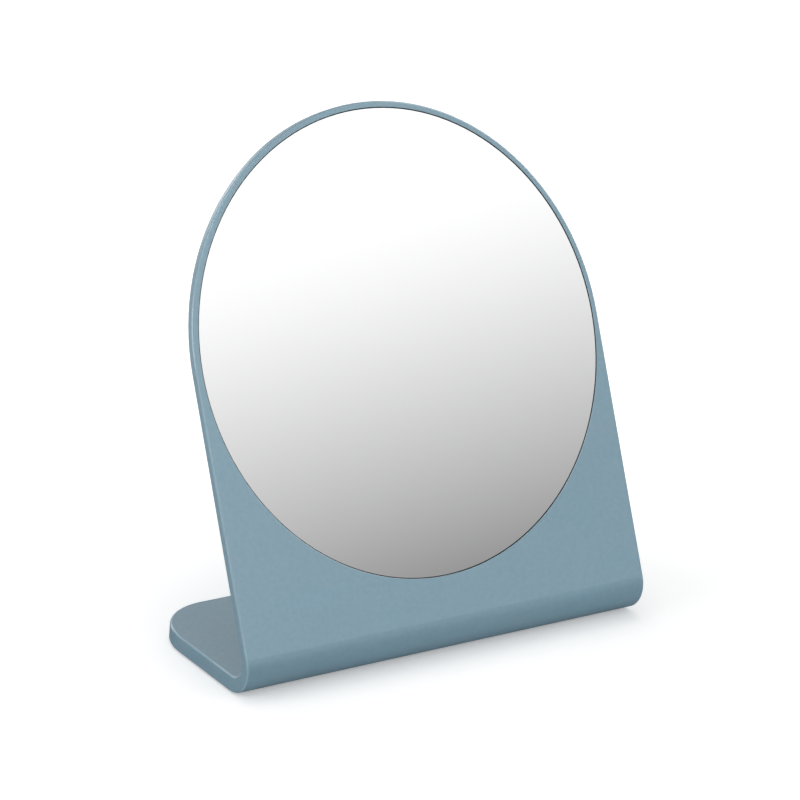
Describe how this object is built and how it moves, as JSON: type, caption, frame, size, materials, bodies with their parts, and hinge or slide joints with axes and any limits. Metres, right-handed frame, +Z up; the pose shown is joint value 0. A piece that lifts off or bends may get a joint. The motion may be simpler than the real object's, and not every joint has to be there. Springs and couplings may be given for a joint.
{
  "type": "vanity mirror",
  "caption": "Free-standing vanity mirror: a round silvered glass let into an arched plate that leans back and turns through a rounded bend into a flat foot.",
  "frame": {"origin": "on the surface that the mirror stands on, below the middle of its whole width and depth", "axes": "+Z up, the mirror faces -Y, X across the width"},
  "size_m": [0.1756, 0.0852, 0.1858],
  "materials": {
    "stand_plastic": "matte, fine moulded grain, blue-grey",
    "clear_glass": "polished float glass with ground edges",
    "silver_coat": "silvered, with grey protective paint behind",
    "mounting_tape": "soft white double-sided tape",
    "pad_rubber": "matte grey non-slip pad"
  },
  "bodies": {
    "root": {"stand": "stand_plastic", "mirror_glass": "clear_glass", "mirror_silvering": "silver_coat", "tape_upper": "mounting_tape", "tape_middle": "mounting_tape", "tape_lower": "mounting_tape", "foot_pad_front_left": "pad_rubber", "foot_pad_front_right": "pad_rubber", "foot_pad_rear_left": "pad_rubber", "foot_pad_rear_right": "pad_rubber"}
  },
  "joints": []
}
